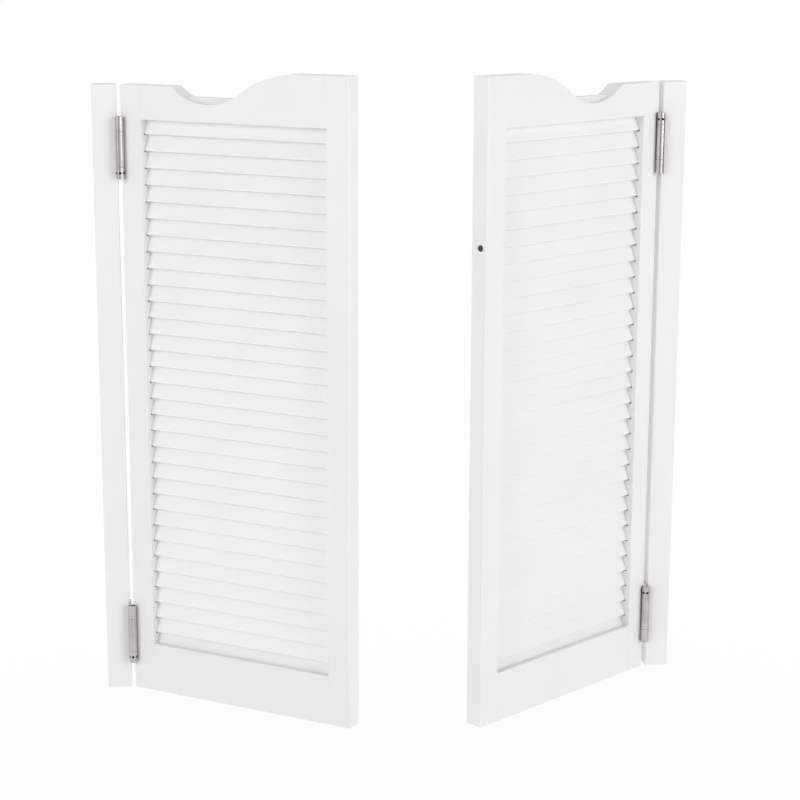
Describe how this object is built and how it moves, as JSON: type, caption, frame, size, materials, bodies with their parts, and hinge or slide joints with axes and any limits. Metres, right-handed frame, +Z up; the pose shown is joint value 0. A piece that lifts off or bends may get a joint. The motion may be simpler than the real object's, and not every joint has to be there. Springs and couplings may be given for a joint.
{
  "type": "cafe swinging doors",
  "caption": "Pair of white louvred swing doors with a curved top, hung from slim posts on double-action spring hinges, both standing open to the front.",
  "frame": {"origin": "centre of the left post's wall face, half way up the post and in the middle of its thickness", "axes": "+X along the doorway from the left post to the right post, +Y through the doorway to the back, +Z up"},
  "size_m": [0.99, 0.2944, 1.06],
  "materials": {
    "painted_wood": "white satin paint",
    "hinge_steel": "satin nickel plate",
    "bumper_rubber": "matt"
  },
  "bodies": {
    "posts": {"left_post": "painted_wood", "left_post_leaf_lower": "hinge_steel", "left_post_leaf_upper": "hinge_steel", "right_post": "painted_wood", "right_post_leaf_lower": "hinge_steel", "right_post_leaf_upper": "hinge_steel"},
    "left_hinge_link": {"left_web_plate_lower": "hinge_steel", "left_collars_lower": "hinge_steel", "left_web_plate_upper": "hinge_steel", "left_collars_upper": "hinge_steel"},
    "left_door": {"left_hinge_stile": "painted_wood", "left_meeting_stile": "painted_wood", "left_top_rail": "painted_wood", "left_bottom_rail": "painted_wood", "left_slats_lower": "painted_wood", "left_slats_middle": "painted_wood", "left_slats_upper": "painted_wood", "left_top_slat": "painted_wood", "left_door_leaf_lower": "hinge_steel", "left_door_leaf_upper": "hinge_steel"},
    "right_hinge_link": {"right_web_plate_lower": "hinge_steel", "right_collars_lower": "hinge_steel", "right_web_plate_upper": "hinge_steel", "right_collars_upper": "hinge_steel"},
    "right_door": {"right_hinge_stile": "painted_wood", "right_meeting_stile": "painted_wood", "right_top_rail": "painted_wood", "right_bottom_rail": "painted_wood", "right_slats_lower": "painted_wood", "right_slats_middle": "painted_wood", "right_slats_upper": "painted_wood", "right_top_slat": "painted_wood", "right_door_leaf_lower": "hinge_steel", "right_door_leaf_upper": "hinge_steel", "right_bumper": "bumper_rubber"}
  },
  "joints": [
    {"name": "left_front_barrel", "type": "hinge", "parent": "posts", "child": "left_hinge_link", "pos_m": [0.04395, -0.0234, 0], "axis": [0, 0, -1], "range_deg": [-34, 76], "stiffness_Nm_per_rad": 3, "springref_deg": -34},
    {"name": "left_rear_barrel", "type": "hinge", "parent": "left_hinge_link", "child": "left_door", "pos_m": [0.07012, 0.0154, 0], "axis": [0, 0, 1], "range_deg": [0, 90], "stiffness_Nm_per_rad": 3},
    {"name": "right_front_barrel", "type": "hinge", "parent": "posts", "child": "right_hinge_link", "pos_m": [0.94605, -0.0234, 0], "axis": [0, 0, 1], "range_deg": [-37.5, 72.5], "stiffness_Nm_per_rad": 3, "springref_deg": -37.5},
    {"name": "right_rear_barrel", "type": "hinge", "parent": "right_hinge_link", "child": "right_door", "pos_m": [0.91756, 0.01373, 0], "axis": [0, 0, -1], "range_deg": [0, 90], "stiffness_Nm_per_rad": 3}
  ]
}
